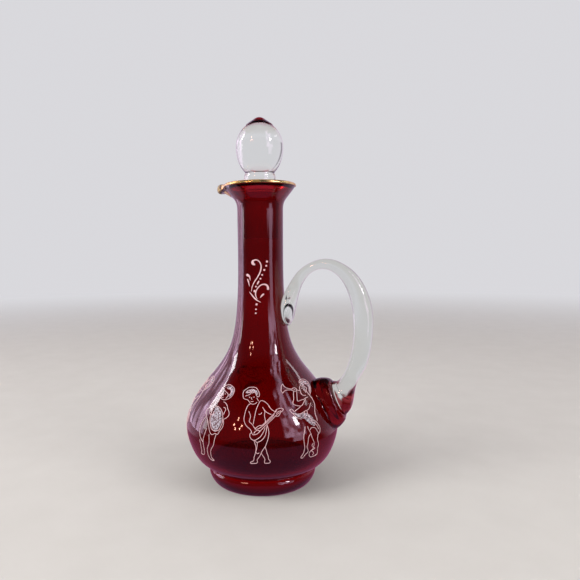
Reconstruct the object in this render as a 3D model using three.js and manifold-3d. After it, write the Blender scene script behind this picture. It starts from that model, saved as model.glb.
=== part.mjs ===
// Ruby glass cruet with a clear drawn handle, a pulled pouring lip and a clear egg stopper.
// Millimetres, +Z up. The origin is the centre of the ground rest face, the handle is towards +X
// and the pouring spout towards -X.

import * as THREE from 'three';
import { ParametricGeometry } from 'three/addons/geometries/ParametricGeometry.js';
import { mergeVertices } from 'three/addons/utils/BufferGeometryUtils.js';
import Module from 'manifold-3d';

const wasm = await Module();
wasm.setup();

// Overall sizes
const STOPPER_TOP = 190;
const RIM_TOP = 155.9;
const RIM_RADIUS = 18.8;
const BULB_RADIUS = 40.4;
const BULB_WIDEST = 30;
const NECK_RADIUS = 12;

// Gap between pieces that are fused, pressed or ground together, and flats around a turned piece
const GAP = 0.3;
const AROUND = 40;

// Blown body: one wall all over, with a bore ground in the neck for the stopper
const WALL = 2.2;
const BODY_BOTTOM = 8.6;
const BODY_SEAT_RADIUS = 28.4;
const FLOOR_TOP = 11.6;
const CREASE = 143.2;
const BORE_TOP = 146;
const BORE_TOP_RADIUS = 10.05;
const BORE_BOTTOM = 125;
const BORE_TAPER = 0.035;
const BLOWN_NECK = new THREE.Vector2(9.6, 106);
const SHOULDER_TOP = 84;
const BODY_STEPS = 26;
const MOUTH_STEPS = 5;

// Lip: a rounded bead in section under a film of gilding. Angles go round the bead's section in
// degrees, from outwards, over the top and inwards.
const GILDING_GAP = 0.2;
const GILDING = 0.25;
const LIP_HALF_WIDTH = 0.8;
const LIP_HALF_HEIGHT = 0.85;
const LIP_RADIUS = RIM_RADIUS - LIP_HALF_WIDTH - GILDING_GAP - GILDING;
const LIP_CENTRE = RIM_TOP - LIP_HALF_HEIGHT - GILDING_GAP - GILDING;
const LIP_ANGLES = [-30, 200];
const LIP_STEPS = 6;
const GILDING_ANGLES = [-50, 185];
const GILDING_STEPS = 7;

// Pouring spout, pulled out of the flare from one height and out of the lip from another
const SPOUT_ANGLE = Math.PI;
const SPOUT_SPREAD = THREE.MathUtils.degToRad(14);
const SPOUT_START = 147;
const SPOUT_LIP_START = 152;
const SPOUT_REACH = 4.6;
const SPOUT_DROP = 0.8;
const SPOUT_WIDEN = 0.6;
const SPOUT_DEEPEN = 1.05;

// Foot: the side bulges from the ground edge to the seat
const FOOT_HEIGHT = BODY_BOTTOM - GAP;
const FOOT_BASE_RADIUS = 25.4;
const FOOT_SIDE = [[26.2, 0.8], [27.5, 2.8], [28.5, 6], [28, FOOT_HEIGHT]];
const FOOT_STEPS = 6;

// Stopper
const PLUG_BOTTOM = 127.5;
const PLUG_TOP = 145.6;
const PLUG_CHAMFER = 0.6;
const COLLAR_RADIUS = 8.3;
const COLLAR_BOTTOM = 147.8;
const COLLAR_TOP = 159.6;
const WAIST = 161.5;
const EGG_RADIUS = 12.3;
const EGG_WIDEST = 174.3;
const EGG_HALF_BELOW = 16;
const EGG_HALF_ABOVE = 13.7;
const EGG_STEPS_BELOW = 6;
const EGG_STEPS_ABOVE = 9;
const TIP_RADIUS = 6.9;
const TIP_DOME = 8.3;
const TIP_STEPS = 6;

// Lower handle pad, from inside the bulb's wall to its flat outer face. Each station has the upper
// and the lower point of its section in the handle plane, as (radial, up), and its half width
// across the plane.
const PAD_STATIONS = [
  { upper: [26.6, 53.6], lower: [36.4, 29.6], wide: 8.8 },
  { upper: [31.2, 55.6], lower: [41.1, 30.5], wide: 8.6 },
  { upper: [34.8, 55.7], lower: [44, 33.6], wide: 8.2 },
  { upper: [37.9, 54.9], lower: [45.5, 37.2], wide: 7.7 },
];
const PAD_SIDES = 22;
const PAD_STEPS = 6;

// Handle rod, from the pad's face up, over and down to its tip on the neck. The upper points run
// round the inside of the loop.
const ROD_STATIONS = [
  { upper: [38.4, 54.6], lower: [45.6, 38], wide: 7.2 },
  { upper: [40.4, 54.5], lower: [48.2, 42], wide: 6.6 },
  { upper: [42.5, 56.2], lower: [49.6, 49.2], wide: 5.6 },
  { upper: [46.2, 63.4], lower: [54.2, 60.6], wide: 4.9 },
  { upper: [48.5, 72.6], lower: [57.4, 70.8], wide: 4.8 },
  { upper: [49.1, 84], lower: [58.8, 84], wide: 4.9 },
  { upper: [48, 94], lower: [57.2, 96.2], wide: 4.7 },
  { upper: [45.3, 102.2], lower: [52, 107], wide: 4 },
  { upper: [40.3, 108.8], lower: [43.6, 114.2], wide: 3.2 },
  { upper: [33.6, 111.5], lower: [33.6, 116.7], wide: 2.8 },
  { upper: [27.2, 109.4], lower: [23.9, 113.2], wide: 3 },
  { upper: [22.4, 103.4], lower: [17.5, 106.6], wide: 3.4 },
  { upper: [19.9, 96.2], lower: [12.8, 97.8], wide: 6 },
  { upper: [18.1, 89.2], lower: [11.7, 89.8], wide: 7.6 },
  { upper: [16.8, 84.4], lower: [13.2, 84.4], wide: 5 },
  { upper: [15.6, 82.3], lower: [14.6, 82.1], wide: 1.4 },
];
const ROD_SIDES = 16;
const ROD_STEPS = 42;

/** A closed mesh with shared vertices and without the flat triangles of a pole or a seam. */
function closed(geometry) {
  const bare = geometry.clone();
  bare.deleteAttribute('normal');
  bare.deleteAttribute('uv');
  const merged = mergeVertices(bare, 1e-3);
  const corners = merged.index.array;
  const kept = [];
  for (let i = 0; i < corners.length; i += 3) {
    const [a, b, c] = corners.subarray(i, i + 3);
    if (a !== b && b !== c && c !== a) {
      kept.push(a, b, c);
    }
  }
  merged.setIndex(kept);
  return merged;
}

/** The first closed mesh without the space that the second one fills. */
function cut(geometry, tool) {
  const [body, blade] = [geometry, tool].map((mesh) => {
    const { position } = mesh.attributes;
    const triVerts = new Uint32Array(mesh.index.array);
    return new wasm.Manifold(new wasm.Mesh({ numProp: 3, vertProperties: position.array, triVerts }));
  });
  const { vertProperties, triVerts } = body.subtract(blade).getMesh();
  const result = new THREE.BufferGeometry();
  result.setAttribute('position', new THREE.BufferAttribute(vertProperties, 3));
  result.setIndex([...triVerts]);
  return result;
}

/** A solid of revolution about Z from a profile of (radius, height) points. */
function turned(profile) {
  const lathe = new THREE.LatheGeometry(profile, AROUND);
  lathe.rotateX(Math.PI / 2);
  return closed(lathe);
}

/** Points of an ellipse in the profile plane, from one angle to another, both in degrees. */
function arc(centreRadius, centreHeight, halfWidth, halfHeight, [from, to], steps) {
  return Array.from({ length: steps + 1 }, (_, i) => {
    const angle = THREE.MathUtils.degToRad(from + (to - from) * i / steps);
    const radius = centreRadius + halfWidth * Math.cos(angle);
    return new THREE.Vector2(radius, centreHeight + halfHeight * Math.sin(angle));
  });
}

/** A smooth profile through (radius, height) pairs. */
function smooth(pairs) {
  return new THREE.SplineCurve(pairs.map(([radius, height]) => new THREE.Vector2(radius, height)));
}

/** Points of a curve moved along its normal: positive is outwards for a curve that rises. */
function offset(curve, distance, steps) {
  return Array.from({ length: steps + 1 }, (_, i) => {
    const tangent = curve.getTangent(i / steps);
    const normal = new THREE.Vector2(tangent.y, -tangent.x);
    return curve.getPoint(i / steps).addScaledVector(normal, distance);
  });
}

// Outer outline of the blown body, from the seat on the foot to the crease under the mouth
const bodyOutline = smooth([
  [BODY_SEAT_RADIUS, BODY_BOTTOM],
  [34, 13],
  [38.4, 21],
  [BULB_RADIUS, BULB_WIDEST],
  [38.5, 37.5],
  [33.8, 46.3],
  [27.3, 55],
  [20.7, 63.5],
  [16.3, 72],
  [14, 81],
  [12.8, 91],
  [NECK_RADIUS + 0.1, 103],
  [NECK_RADIUS - 0.1, 123],
  [NECK_RADIUS, CREASE],
]);

// Outer outline of the mouth, from the crease to the lip
const mouthOutline = smooth([
  [NECK_RADIUS, CREASE],
  [12.5, BORE_TOP],
  [14.6, 149.3],
  [17.4, 152.9],
]);

/** Pulls the lip out into the spout: out and down, and wider and deeper towards the lip. */
function pullSpout(geometry) {
  const { position } = geometry.attributes;
  const point = new THREE.Vector3();
  for (let i = 0; i < position.count; i += 1) {
    point.fromBufferAttribute(position, i);
    const radius = Math.hypot(point.x, point.y);
    const angle = Math.atan2(point.y, point.x);
    const turn = Math.atan2(Math.sin(angle - SPOUT_ANGLE), Math.cos(angle - SPOUT_ANGLE));
    const pull = Math.exp(-((turn / SPOUT_SPREAD) ** 2));
    const rise = THREE.MathUtils.smoothstep(point.z, SPOUT_START, LIP_CENTRE);
    const lip = THREE.MathUtils.smoothstep(point.z, SPOUT_LIP_START, LIP_CENTRE - LIP_HALF_HEIGHT);
    const out = pull * (SPOUT_REACH * rise + SPOUT_WIDEN * lip * (radius - LIP_RADIUS));
    const up = pull * lip * (SPOUT_DEEPEN * (point.z - LIP_CENTRE) - SPOUT_DROP);
    const scale = radius > 0 ? (radius + out) / radius : 1;
    position.setXYZ(i, point.x * scale, point.y * scale, point.z + up);
  }
  return geometry;
}

/** Radius of the ground bore in the neck at a height. */
function boreRadius(height) {
  return BORE_TOP_RADIUS - BORE_TAPER * (BORE_TOP - height);
}

/** Blown body: bulb, neck, flared mouth and lip, open at the top. */
function bodyVessel() {
  const mouthInside = offset(mouthOutline, -WALL, MOUTH_STEPS).filter((point) => point.y > BORE_TOP);
  const bulbInside = offset(bodyOutline, -WALL, BODY_STEPS)
    .filter((point) => point.y < SHOULDER_TOP && point.y > FLOOR_TOP);
  const outside = [
    new THREE.Vector2(0, BODY_BOTTOM),
    ...offset(bodyOutline, 0, BODY_STEPS),
    ...offset(mouthOutline, 0, MOUTH_STEPS).slice(1),
  ];
  const inside = [
    ...mouthInside.reverse(),
    new THREE.Vector2(BORE_TOP_RADIUS, BORE_TOP),
    new THREE.Vector2(boreRadius(BORE_BOTTOM), BORE_BOTTOM),
    BLOWN_NECK,
    ...bulbInside.reverse(),
    new THREE.Vector2(BODY_SEAT_RADIUS - WALL, FLOOR_TOP),
    new THREE.Vector2(0, FLOOR_TOP),
  ];
  const lip = arc(LIP_RADIUS, LIP_CENTRE, LIP_HALF_WIDTH, LIP_HALF_HEIGHT, LIP_ANGLES, LIP_STEPS);
  return pullSpout(turned([...outside, ...lip, ...inside]));
}

/** Gilding: a film over the lip, closed in section. */
function rimGilding() {
  const film = (grow) => {
    const [halfWidth, halfHeight] = [LIP_HALF_WIDTH + grow, LIP_HALF_HEIGHT + grow];
    return arc(LIP_RADIUS, LIP_CENTRE, halfWidth, halfHeight, GILDING_ANGLES, GILDING_STEPS);
  };
  const outer = film(GILDING_GAP + GILDING);
  const inner = film(GILDING_GAP).reverse();
  return pullSpout(turned([...outer, ...inner, outer[0]]));
}

/** Foot: an applied disc with a bulging side, ground flat underneath. */
function footRing() {
  return turned([
    new THREE.Vector2(0, 0),
    new THREE.Vector2(FOOT_BASE_RADIUS, 0),
    ...smooth(FOOT_SIDE).getPoints(FOOT_STEPS),
    new THREE.Vector2(0, FOOT_HEIGHT),
  ]);
}

/** Stopper: ground plug, collar and egg in one solid. The egg narrows to the waist on the collar. */
function stopperBody() {
  const plugRadius = (height) => boreRadius(height) - GAP;
  const waistAngle = Math.asin((WAIST - EGG_WIDEST) / EGG_HALF_BELOW);
  const below = [THREE.MathUtils.radToDeg(waistAngle), 0];
  return turned([
    new THREE.Vector2(0, PLUG_BOTTOM),
    new THREE.Vector2(plugRadius(PLUG_BOTTOM) - PLUG_CHAMFER, PLUG_BOTTOM),
    new THREE.Vector2(plugRadius(PLUG_BOTTOM), PLUG_BOTTOM + PLUG_CHAMFER),
    new THREE.Vector2(plugRadius(PLUG_TOP), PLUG_TOP),
    new THREE.Vector2(COLLAR_RADIUS, COLLAR_BOTTOM),
    new THREE.Vector2(COLLAR_RADIUS, COLLAR_TOP),
    ...arc(0, EGG_WIDEST, EGG_RADIUS, EGG_HALF_BELOW, below, EGG_STEPS_BELOW),
    ...arc(0, EGG_WIDEST, EGG_RADIUS, EGG_HALF_ABOVE, [0, 90], EGG_STEPS_ABOVE).slice(1),
  ]);
}

/** Stopper tip: a lens of ruby glass over the top of the egg, a little pointed. */
function stopperTip() {
  const radii = Array.from({ length: TIP_STEPS + 1 }, (_, i) => TIP_RADIUS * i / TIP_STEPS);
  const under = radii.map((radius) => {
    const rise = EGG_HALF_ABOVE * Math.sqrt(1 - (radius / EGG_RADIUS) ** 2);
    return new THREE.Vector2(radius, EGG_WIDEST + rise + GAP);
  });
  const over = radii.map((radius) => {
    const drop = TIP_DOME - Math.sqrt(TIP_DOME ** 2 - radius ** 2);
    return new THREE.Vector2(radius, STOPPER_TOP - drop);
  });
  return turned([...under, ...over.reverse()]);
}

/** The blown body's outline grown by the gap, closed to the axis: it trims what is pressed on it. */
function bodyBlade() {
  const skin = offset(bodyOutline, GAP, BODY_STEPS);
  const top = skin[skin.length - 1];
  return turned([
    new THREE.Vector2(0, skin[0].y),
    ...skin,
    new THREE.Vector2(0, top.y),
  ]);
}

/** A solid with elliptical sections, drawn smoothly through stations in the handle plane. */
function drawn(stations, sides, steps) {
  const uppers = smooth(stations.map(({ upper }) => upper));
  const lowers = smooth(stations.map(({ lower }) => lower));
  const widths = smooth(stations.map(({ wide }, i) => [i, wide]));
  const rows = steps + 2;
  const geometry = new ParametricGeometry((u, v, target) => {
    const row = Math.round(v * rows);
    const along = THREE.MathUtils.clamp((row - 1) / steps, 0, 1);
    const size = row === 0 || row === rows ? 0 : 1;
    const angle = 2 * Math.PI * (Math.round(u * sides) % sides) / sides;
    const across = (1 - size * Math.cos(angle)) / 2;
    const point = uppers.getPoint(along).lerp(lowers.getPoint(along), across);
    target.set(point.x, -size * widths.getPoint(along).y * Math.sin(angle), point.y);
  }, sides, rows);
  return closed(geometry);
}

const RUBY = { color: 0x6e0b16, roughness: 0.05, metalness: 0 };
const CLEAR = { color: 0xdfe3e2, roughness: 0.04, metalness: 0 };
const GOLD = { color: 0xc9973f, roughness: 0.3, metalness: 1 };

const cruet = new THREE.Group();

/** Adds one named piece to the cruet. */
function add(name, geometry, finish) {
  const mesh = new THREE.Mesh(geometry, new THREE.MeshStandardMaterial(finish));
  mesh.name = name;
  cruet.add(mesh);
}

add('body_vessel', bodyVessel(), RUBY);
add('foot_ring', footRing(), RUBY);
add('handle_pad', cut(drawn(PAD_STATIONS, PAD_SIDES, PAD_STEPS), bodyBlade()), RUBY);
add('handle_rod', cut(drawn(ROD_STATIONS, ROD_SIDES, ROD_STEPS), bodyBlade()), CLEAR);
add('rim_gilding', rimGilding(), GOLD);
add('stopper_body', stopperBody(), CLEAR);
add('stopper_tip', stopperTip(), RUBY);

export default cruet;
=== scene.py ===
"""Looks of a blown ruby glass cruet with a clear drawn handle, a gilded lip and a clear egg stopper.

Metres, +Z up. The origin is the centre of the rest face, the handle is towards +X and the spout
towards -X. Each section makes one piece or group: its sizes, mesh, finish and what it rides on.
"""

import math

import bmesh
import bpy
import numpy as np
from mathutils import Matrix, Vector


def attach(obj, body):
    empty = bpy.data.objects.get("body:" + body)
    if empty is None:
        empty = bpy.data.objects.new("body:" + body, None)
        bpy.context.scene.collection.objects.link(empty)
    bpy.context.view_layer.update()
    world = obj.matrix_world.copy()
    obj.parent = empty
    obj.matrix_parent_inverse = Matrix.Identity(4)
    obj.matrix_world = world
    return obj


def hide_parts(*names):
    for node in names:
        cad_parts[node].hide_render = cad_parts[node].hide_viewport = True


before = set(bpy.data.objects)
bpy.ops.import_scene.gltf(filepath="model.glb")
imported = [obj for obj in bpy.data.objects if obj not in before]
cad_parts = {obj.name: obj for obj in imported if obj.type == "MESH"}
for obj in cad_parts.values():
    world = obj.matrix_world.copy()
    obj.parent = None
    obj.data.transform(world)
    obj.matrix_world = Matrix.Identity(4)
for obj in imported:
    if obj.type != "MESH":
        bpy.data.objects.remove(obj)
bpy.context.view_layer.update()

# Blown body
# One gather of ruby glass blown into bulb, neck and flared mouth, with a wall of about 2 mm. The
# pouring lip is pulled out while hot, and the whole skin is fire polished.

MM = 0.001
WALL = 2.2 * MM
SEAT_HEIGHT = 8.6 * MM
FLOOR_TOP = 11.6 * MM
FLOOR_EDGE = 24 * MM
BULB_OUTLINE = np.array([
    (28.4, 8.6), (34, 13), (38.4, 21), (40.1, 30), (38.5, 37.5), (33.8, 46.3), (27.3, 55),
    (20.7, 63.5), (16.3, 72), (14, 81), (12.8, 91), (12.1, 103), (11.9, 123), (12, 143.2),
]) * MM
MOUTH_OUTLINE = np.array([(12, 143.2), (12.5, 146), (14.6, 149.3), (17.4, 152.9)]) * MM
LIP_CENTRE = (17.55 * MM, 154.6 * MM)
LIP_HALF = (0.8 * MM, 0.85 * MM)
LIP_ARC = (-30, 200)
BORE_TOP = 146 * MM
BORE_BOTTOM = 125 * MM
BORE_RADIUS = 10.05 * MM
BORE_TAPER = 0.035
BLOWN_NECK = (9.6 * MM, 106 * MM)
SHOULDER_TOP = 84 * MM
AROUND = 192
GLASS_INDEX = 1.5
BLOWN_DENSITY = 1150.0
RUBY_TINTS = ((0.66, 0.075, 0.125, 1), (0.78, 0.11, 0.175, 1))
RUBY_IN_DEPTH = (0.757, 0.087, 0.061, 1)


def through(points, count):
    """Points spaced evenly on the smooth line through the given ones.

    Each span is a cubic in the distance along the chords. Neighbouring spans share their slope and
    their curvature, and the ends run straight. Every column of the points is carried along alike.
    """
    points = np.asarray(points, float)
    chords = np.linalg.norm(np.diff(points[:, :2], axis=0), axis=1)
    knots = np.concatenate([[0], np.cumsum(chords)])
    step = np.diff(knots)
    slope = np.diff(points, axis=0) / step[:, None]
    system = np.eye(len(points))
    inner = np.arange(1, len(points) - 1)
    system[inner, inner - 1] = step[:-1]
    system[inner, inner] = 2 * (step[:-1] + step[1:])
    system[inner, inner + 1] = step[1:]
    change = np.zeros_like(points)
    change[1:-1] = 6 * np.diff(slope, axis=0)
    bend = np.linalg.solve(system, change)
    at = np.linspace(0, knots[-1], count)
    span = np.clip(np.searchsorted(knots, at) - 1, 0, len(step) - 1)
    size = step[span][:, None]
    done = (at - knots[span])[:, None]
    left = size - done
    cubic = (bend[span] * left**3 + bend[span + 1] * done**3) / (6 * size)
    start = (points[span] / size - bend[span] * size / 6) * left
    end = (points[span + 1] / size - bend[span + 1] * size / 6) * done
    return cubic + start + end


def beside(line, distance):
    """The line moved along its normal, outwards for a profile that rises."""
    along = np.gradient(line, axis=0)
    along /= np.linalg.norm(along, axis=1)[:, None]
    return line + distance * np.stack([along[:, 1], -along[:, 0]], -1)


def bow(centre, half, start, stop, count):
    """Points of an ellipse in the profile plane, between two angles in degrees."""
    angle = np.radians(np.linspace(start, stop, count))
    return np.stack([centre[0] + half[0] * np.cos(angle), centre[1] + half[1] * np.sin(angle)], -1)


def turned(profile):
    """A profile of (radius, height) turned about Z: x = r cos a, y = r sin a, z = height."""
    angle = 2 * np.pi * np.arange(AROUND) / AROUND
    radius = profile[:, 0, None]
    height = np.broadcast_to(profile[:, 1, None], (len(profile), AROUND))
    return np.stack([radius * np.cos(angle), radius * np.sin(angle), height], -1)


def mesh_piece(name, grids, loop=False):
    """One object from grids of points. Columns run round and meet, and so do the rows of a loop.

    Rows that shrink to a point are merged there, and the faces are turned outwards.
    """
    points, faces, first = [], [], 0
    for grid in grids:
        rows, columns = grid.shape[:2]
        row = np.arange(rows if loop else rows - 1)[:, None]
        column = np.arange(columns)
        ahead = (row + 1) % rows * columns
        here = row * columns
        beyond = (column + 1) % columns
        quads = np.stack([here + column, here + beyond, ahead + beyond, ahead + column], -1)
        faces.append(quads.reshape(-1, 4) + first)
        points.append(grid.reshape(-1, 3))
        first += rows * columns
    mesh = bpy.data.meshes.new(name)
    mesh.from_pydata(np.concatenate(points).tolist(), [], np.concatenate(faces).tolist())
    solid = bmesh.new()
    solid.from_mesh(mesh)
    bmesh.ops.remove_doubles(solid, verts=solid.verts, dist=1e-7)
    bmesh.ops.recalc_face_normals(solid, faces=solid.faces)
    solid.to_mesh(mesh)
    solid.free()
    mesh.shade_smooth()
    piece = bpy.data.objects.new(name, mesh)
    bpy.context.scene.collection.objects.link(piece)
    return piece


def bore_radius(height):
    """Radius of the ground bore in the neck, which narrows downwards."""
    return BORE_RADIUS - BORE_TAPER * (BORE_TOP - height)


def pull_spout(grid):
    """The lip pulled into a spout: out and down, and wider and deeper towards the lip.

    The pull falls off round the mouth as exp(-(turn / spread) squared) and sets in with height.
    """
    spread, start, lip_start = math.radians(14), 147 * MM, 152 * MM
    reach, drop, widen, deepen = 4.6 * MM, 0.8 * MM, 0.6, 1.05
    radius = np.hypot(grid[..., 0], grid[..., 1])
    turn = np.arctan2(grid[..., 1], -grid[..., 0])
    height = grid[..., 2]

    def eased(low, high):
        share = np.clip((height - low) / (high - low), 0, 1)
        return share * share * (3 - 2 * share)

    pull = np.exp(-((turn / spread) ** 2))
    lip = eased(lip_start, LIP_CENTRE[1] - LIP_HALF[1])
    rise = eased(start, LIP_CENTRE[1])
    out = pull * (reach * rise + widen * lip * (radius - LIP_CENTRE[0]))
    up = pull * lip * (deepen * (height - LIP_CENTRE[1]) - drop)
    scale = (radius + out) / np.maximum(radius, 1e-9)
    return np.stack([grid[..., 0] * scale, grid[..., 1] * scale, height + up], -1)


bulb_line = through(BULB_OUTLINE, 110)
mouth_line = through(MOUTH_OUTLINE, 14)
bulb_inside = beside(bulb_line, -WALL)
bulb_inside = bulb_inside[(bulb_inside[:, 1] > FLOOR_TOP) & (bulb_inside[:, 1] < SHOULDER_TOP)]
mouth_inside = beside(mouth_line, -WALL)
mouth_inside = mouth_inside[mouth_inside[:, 1] > BORE_TOP]
neck_inside = through([
    (bore_radius(BORE_TOP), BORE_TOP),
    (bore_radius(BORE_BOTTOM), BORE_BOTTOM),
    BLOWN_NECK,
    bulb_inside[-1],
], 30)
body_profile = np.vstack([
    [(0, SEAT_HEIGHT)],
    bulb_line,
    mouth_line[1:],
    bow(LIP_CENTRE, LIP_HALF, *LIP_ARC, 14),
    mouth_inside[::-1],
    neck_inside[:-1],
    bulb_inside[::-1],
    [(FLOOR_EDGE, FLOOR_TOP), (0, FLOOR_TOP)],
])
body = mesh_piece("ruby_body", [pull_spout(turned(body_profile))])


class Shade:
    """A material's node tree, or one socket of it. Sums and products of sockets add Math nodes."""

    def __init__(self, tree, socket=None):
        self.tree = tree
        self.socket = socket

    def node(self, kind, settings, sockets, output=0):
        """Adds a node. Its settings come first, then the value or the link of each socket."""
        made = self.tree.nodes.new("ShaderNode" + kind)
        for name, value in settings.items():
            if name == "stops":
                for place, level in value:
                    stop = made.color_ramp.elements.new(place)
                    stop.color = (level, level, level, 1)
                made.color_ramp.elements.remove(made.color_ramp.elements[-1])
                made.color_ramp.elements.remove(made.color_ramp.elements[0])
            else:
                setattr(made, name, value)
        for name, value in sockets.items():
            if isinstance(value, Shade):
                self.tree.links.new(value.socket, made.inputs[name])
            else:
                made.inputs[name].default_value = value
        return Shade(self.tree, made.outputs[output] if made.outputs else None)

    def maths(self, operation, first, second=0.0):
        """A Math node on one or two values."""
        return self.node("Math", {"operation": operation}, {0: first, 1: second})

    def noise(self, place, scale, detail):
        """Soft noise between 0 and 1, which varies about scale times in a unit of the place."""
        return self.node("TexNoise", {}, {"Vector": place, "Scale": scale, "Detail": detail})

    def eased(self, value, start, stop, low=0.0, high=1.0):
        """Low up to the start and high from the stop on, on a smooth step between."""
        return self.node("MapRange", {"interpolation_type": "SMOOTHSTEP"}, {
            "Value": value, "From Min": start, "From Max": stop, "To Min": low, "To Max": high,
        })

    def blend(self, share, first, second):
        """The first colour where the share is 0, the second where it is 1."""
        return self.node("Mix", {"data_type": "RGBA"}, {0: share, 6: first, 7: second}, 2)

    def __add__(self, other):
        return self.maths("ADD", self, other)

    def __sub__(self, other):
        return self.maths("SUBTRACT", self, other)

    def __rsub__(self, other):
        return self.maths("SUBTRACT", other, self)

    def __mul__(self, other):
        return self.maths("MULTIPLY", self, other)

    __radd__ = __add__
    __rmul__ = __mul__


def new_material(name):
    """An empty material, as its node tree with its output still to be linked."""
    material = bpy.data.materials.new(name)
    material.use_nodes = True
    material.node_tree.nodes.clear()
    return material, Shade(material.node_tree)


def ruby_glass(name, density):
    """Ruby glass: tinted at its skin and darker with depth, with drawn ripples and faint smears.

    The depth dims light as exp(-density x (1 - colour) x path), so thin places stay bright.
    """
    material, tree = new_material(name)
    place = tree.node("TexCoord", {}, {}, "Object")
    drawn = tree.node("Mapping", {}, {"Vector": place, "Scale": (60, 60, 14)})
    ripple = tree.noise(drawn, 1.0, 1.0)
    smear = tree.noise(place, 120.0, 2.0)
    streak = tree.noise(drawn, 2.5, 3.0)
    tint = tree.blend(streak, *RUBY_TINTS)
    bump = tree.node("Bump", {}, {"Height": ripple, "Strength": 0.07, "Distance": 0.0006})
    shader = tree.node("BsdfPrincipled", {}, {
        "Base Color": tint,
        "Roughness": smear * 0.05,
        "IOR": GLASS_INDEX,
        "Transmission Weight": 1.0,
        "Normal": bump,
    })
    depth = tree.node("VolumeAbsorption", {}, {"Color": RUBY_IN_DEPTH, "Density": density})
    tree.node("OutputMaterial", {}, {"Surface": shader, "Volume": depth})
    return material


body.data.materials.append(ruby_glass("ruby_blown", BLOWN_DENSITY))
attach(body, "vessel")
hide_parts("body_vessel")

# Foot
# A second gather of the same ruby glass, dropped on the bulb and sheared into a short disc. Its
# side bulges, its top edge is melted round, and its underside is ground flat.

FOOT_PROFILE = np.array([
    (25.4, 0), (26.4, 1), (27.7, 3.2), (28.3, 5.4), (28, 7), (27.2, 8), (26.4, 8.35),
]) * MM
FOOT_TOP = 8.35 * MM
FOOT_DENSITY = 330.0

foot_side = through(FOOT_PROFILE, 24)
foot_profile = np.vstack([[(0, 0)], foot_side, [(0, FOOT_TOP)]])
foot = mesh_piece("ruby_foot", [turned(foot_profile)])
foot.data.materials.append(ruby_glass("ruby_foot_glass", FOOT_DENSITY))
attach(foot, "vessel")
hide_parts("foot_ring")

# Lower handle pad
# A short thick gather of ruby glass pressed on the bulb. The handle is started from its flat
# outer face.

PAD_STATIONS = np.array([
    (26.6, 53.6, 36.4, 29.6, 8),
    (31.2, 55.6, 41.1, 30.5, 8.3),
    (34.8, 55.9, 44, 33.5, 8.7),
    (36.7, 55.4, 45.1, 35.6, 8.2),
    (37.7, 54.6, 45.4, 37.4, 6.8),
]) * MM
PRESSED_GAP = 0.15 * MM
PAD_DENSITY = 400.0


def drawn_sections(stations, rows, sides, caps):
    """Elliptical sections between an upper and a lower line in the handle plane.

    A station is (upper radius, upper height, lower radius, lower height, half width). Round the
    section, the point is the middle of the two lines plus cos a times half their difference, and
    its depth is the half width times sin a. The end sections shrink to a point in cap rings.
    """
    line = through(stations, rows)
    shrink = np.linspace(0, 1, caps, endpoint=False)
    line = np.vstack([np.repeat(line[:1], caps, 0), line, np.repeat(line[-1:], caps, 0)])
    size = np.concatenate([shrink, np.ones(rows), shrink[::-1]])[:, None]
    angle = 2 * np.pi * np.arange(sides) / sides
    middle = (line[:, None, 0:2] + line[:, None, 2:4]) / 2
    reach = (line[:, None, 0:2] - line[:, None, 2:4]) / 2 * (size * np.cos(angle))[..., None]
    flat = middle + reach
    return np.stack([flat[..., 0], line[:, 4, None] * size * np.sin(angle), flat[..., 1]], -1)


def pressed(grid, gap):
    """Points inside the blown body's outline, grown by the gap, moved out to it from the axis."""
    radius = np.hypot(grid[..., 0], grid[..., 1])
    slope = np.gradient(bulb_line[:, 0], bulb_line[:, 1])
    grown = bulb_line[:, 0] + gap * np.sqrt(1 + slope**2)
    limit = np.interp(grid[..., 2], bulb_line[:, 1], grown)
    scale = np.maximum(1, limit / np.maximum(radius, 1e-9))
    return grid * np.stack([scale, scale, np.ones_like(scale)], -1)


pad = mesh_piece("ruby_handle_pad", [pressed(drawn_sections(PAD_STATIONS, 24, 64, 8), PRESSED_GAP)])
pad.data.materials.append(ruby_glass("ruby_pad_glass", PAD_DENSITY))
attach(pad, "vessel")
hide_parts("handle_pad")

# Handle
# One rod of clear glass, stuck to the pad's face, drawn up into a loop and pressed flat along the
# neck, where it ends in a short tail.

ROD_STATIONS = np.array([
    (38.4, 54.6, 45.6, 38, 7.2),
    (40.4, 54.5, 48.2, 42, 6.6),
    (42.5, 56.2, 49.6, 49.2, 5.6),
    (46.2, 63.4, 54.2, 60.6, 4.9),
    (48.5, 72.6, 57.4, 70.8, 4.8),
    (49.1, 84, 58.7, 84, 4.9),
    (48, 94, 57.2, 96.2, 4.7),
    (45.3, 102.2, 52, 107, 4),
    (40.3, 108.8, 43.6, 114.2, 3.2),
    (33.6, 111.5, 33.6, 116.7, 2.8),
    (27.2, 109.4, 23.9, 113.2, 3),
    (22.4, 103.4, 17.5, 106.6, 3.4),
    (19.9, 96.2, 12.8, 97.8, 6),
    (18.1, 89.2, 11.7, 89.8, 7.6),
    (16.8, 84.4, 13.2, 84.4, 5),
    (15.6, 82.3, 14.6, 82.1, 1.4),
]) * MM

ROD_TINTS = ((0.84, 0.86, 0.845, 1), (0.89, 0.895, 0.88, 1))
# Painted reflection: round this centre the clear rod's root is tinted with the ruby of the pad behind it.
ROOT_RUBY_REFLECTION = ((47.2 * MM, 0, 44.5 * MM), 8.5 * MM, (0.16, 0.002, 0.003, 1))
RUBY_REFLECTION_EDGE = 1.2 * MM
RUBY_REFLECTION_WAVER = 6 * MM
BELOW_THE_FOOT = -1.0

rod = mesh_piece("clear_handle", [pressed(drawn_sections(ROD_STATIONS, 220, 48, 6), PRESSED_GAP)])


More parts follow.
